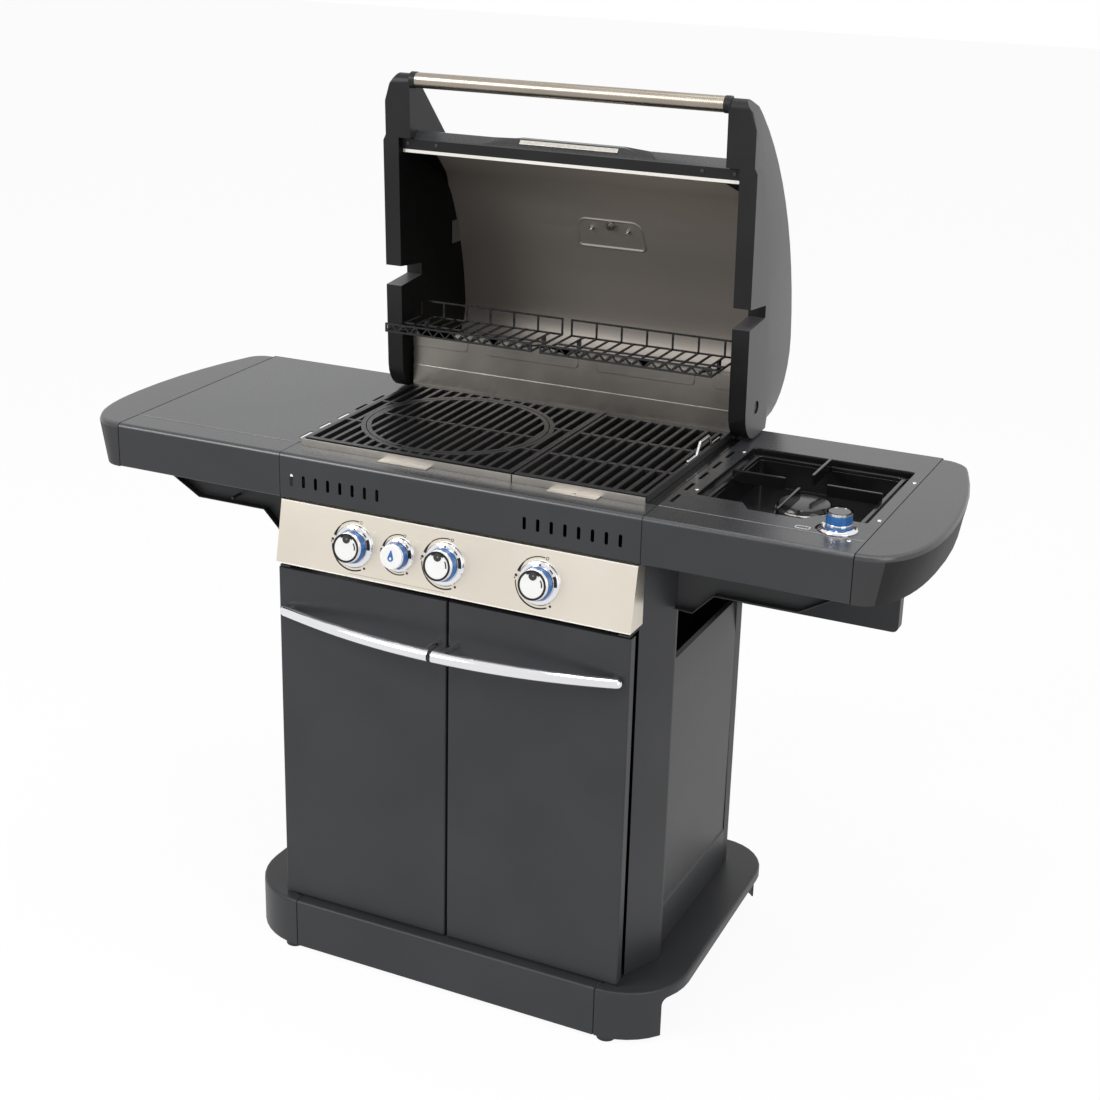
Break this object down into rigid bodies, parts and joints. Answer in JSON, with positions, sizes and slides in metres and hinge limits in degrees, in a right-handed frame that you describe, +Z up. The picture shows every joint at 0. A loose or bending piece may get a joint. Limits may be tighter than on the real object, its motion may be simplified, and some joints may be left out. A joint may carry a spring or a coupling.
{
  "type": "gas barbecue grill",
  "caption": "Free-standing gas barbecue with a hinged lid, cast grates, a front control panel, two cabinet doors, side shelves and a side burner under its own cover.",
  "frame": {"origin": "on the ground under the middle of the whole object, with the lid open and the doors shut", "axes": "+X to the user's right, +Y away from the user, +Z up"},
  "size_m": [1.481, 0.7414, 1.4841],
  "materials": {
    "graphite": "satin baked enamel",
    "soft_black": "plain",
    "cast_black": "enamelled",
    "steel": "brushed",
    "chrome": "polished",
    "brass": "machined",
    "knob_blue": "gloss",
    "cap_alu": "painted casting"
  },
  "bodies": {
    "frame": {"base_side_left": "graphite", "base_side_right": "graphite", "base_beams": "graphite", "feet": "soft_black", "cabinet_floor": "graphite", "front_columns": "graphite", "rear_columns": "graphite", "side_panels": "graphite", "rear_braces": "graphite", "side_beams": "graphite", "apron_middle": "graphite", "apron_left": "graphite", "apron_right": "graphite", "shelf_plate_left": "graphite", "shelf_plate_right": "graphite", "end_cap_left": "graphite", "end_cap_right": "graphite", "shelf_rails": "graphite", "shelf_brackets": "graphite", "control_panel": "steel", "knob_bezels": "chrome", "gas_manifold": "brass", "firebox": "cast_black", "rear_deck": "graphite", "rear_liner": "steel", "grate_trims": "steel", "grate_left": "cast_black", "grate_round": "cast_black", "grate_right": "cast_black", "grate_handle": "chrome", "burner_tubes": "steel", "heat_tents": "steel", "warming_racks": "cast_black", "burner_well": "cast_black", "side_burner": "steel", "pan_support": "cast_black", "side_cover": "graphite", "lid_hinges": "graphite", "door_pivots": "steel"},
    "lid": {"lid_cap_left": "cap_alu", "lid_cap_right": "cap_alu", "lid_skin": "graphite", "lid_liner": "steel", "lid_handle": "steel", "thermometer": "steel"},
    "left_door": {"door_left": "graphite", "door_handle_left": "chrome"},
    "right_door": {"door_right": "graphite", "door_handle_right": "chrome"},
    "tray": {"grease_tray": "steel"},
    "stem_1": {"spindle_1": "brass"},
    "dial_1": {"knob_1": "knob_blue"},
    "stem_2": {"spindle_2": "brass"},
    "dial_2": {"knob_2": "knob_blue"},
    "stem_3": {"spindle_3": "brass"},
    "dial_3": {"knob_3": "knob_blue"},
    "stem_4": {"spindle_4": "brass"},
    "dial_4": {"knob_4": "knob_blue"},
    "side_stem": {"side_spindle": "brass"},
    "side_dial": {"side_knob": "knob_blue"}
  },
  "joints": [
    {"name": "lid_hinge", "type": "hinge", "parent": "frame", "child": "lid", "pos_m": [0, 0.154, 0.968], "axis": [1, 0, 0], "range_deg": [0, 88]},
    {"name": "left_door_hinge", "type": "hinge", "parent": "frame", "child": "left_door", "pos_m": [-0.305, -0.299, 0.41], "axis": [0, 0, -1], "range_deg": [0, 110]},
    {"name": "right_door_hinge", "type": "hinge", "parent": "frame", "child": "right_door", "pos_m": [0.305, -0.299, 0.41], "axis": [0, 0, 1], "range_deg": [0, 110]},
    {"name": "tray_slide", "type": "slide", "parent": "frame", "child": "tray", "axis": [0, 1, 0], "range_m": [0, 0.3]},
    {"name": "stem_1_push", "type": "slide", "parent": "frame", "child": "stem_1", "axis": [0, 0.9806, -0.1959], "range_m": [0, 0.004], "stiffness_N_per_m": 600, "springref_m": -0.005},
    {"name": "dial_1_turn", "type": "hinge", "parent": "stem_1", "child": "dial_1", "pos_m": [-0.1735, -0.30378, 0.77957], "axis": [0, -0.9806, 0.1959], "range_deg": [0, 210]},
    {"name": "stem_2_push", "type": "slide", "parent": "frame", "child": "stem_2", "axis": [0, 0.9806, -0.1959], "range_m": [0, 0.004], "stiffness_N_per_m": 600, "springref_m": -0.005},
    {"name": "dial_2_turn", "type": "hinge", "parent": "stem_2", "child": "dial_2", "pos_m": [-0.0905, -0.30378, 0.77957], "axis": [0, -0.9806, 0.1959], "range_deg": [0, 210]},
    {"name": "stem_3_push", "type": "slide", "parent": "frame", "child": "stem_3", "axis": [0, 0.9806, -0.1959], "range_m": [0, 0.004], "stiffness_N_per_m": 600, "springref_m": -0.005},
    {"name": "dial_3_turn", "type": "hinge", "parent": "stem_3", "child": "dial_3", "pos_m": [-0.0075, -0.30378, 0.77957], "axis": [0, -0.9806, 0.1959], "range_deg": [0, 210]},
    {"name": "stem_4_push", "type": "slide", "parent": "frame", "child": "stem_4", "axis": [0, 0.9806, -0.1959], "range_m": [0, 0.004], "stiffness_N_per_m": 600, "springref_m": -0.005},
    {"name": "dial_4_turn", "type": "hinge", "parent": "stem_4", "child": "dial_4", "pos_m": [0.1585, -0.30378, 0.77957], "axis": [0, -0.9806, 0.1959], "range_deg": [0, 210]},
    {"name": "side_stem_push", "type": "slide", "parent": "frame", "child": "side_stem", "axis": [0, 0, -1], "range_m": [0, 0.004], "stiffness_N_per_m": 600, "springref_m": -0.005},
    {"name": "side_dial_turn", "type": "hinge", "parent": "side_stem", "child": "side_dial", "pos_m": [0.595, -0.205, 0.913], "axis": [0, 0, 1], "range_deg": [0, 210]}
  ]
}
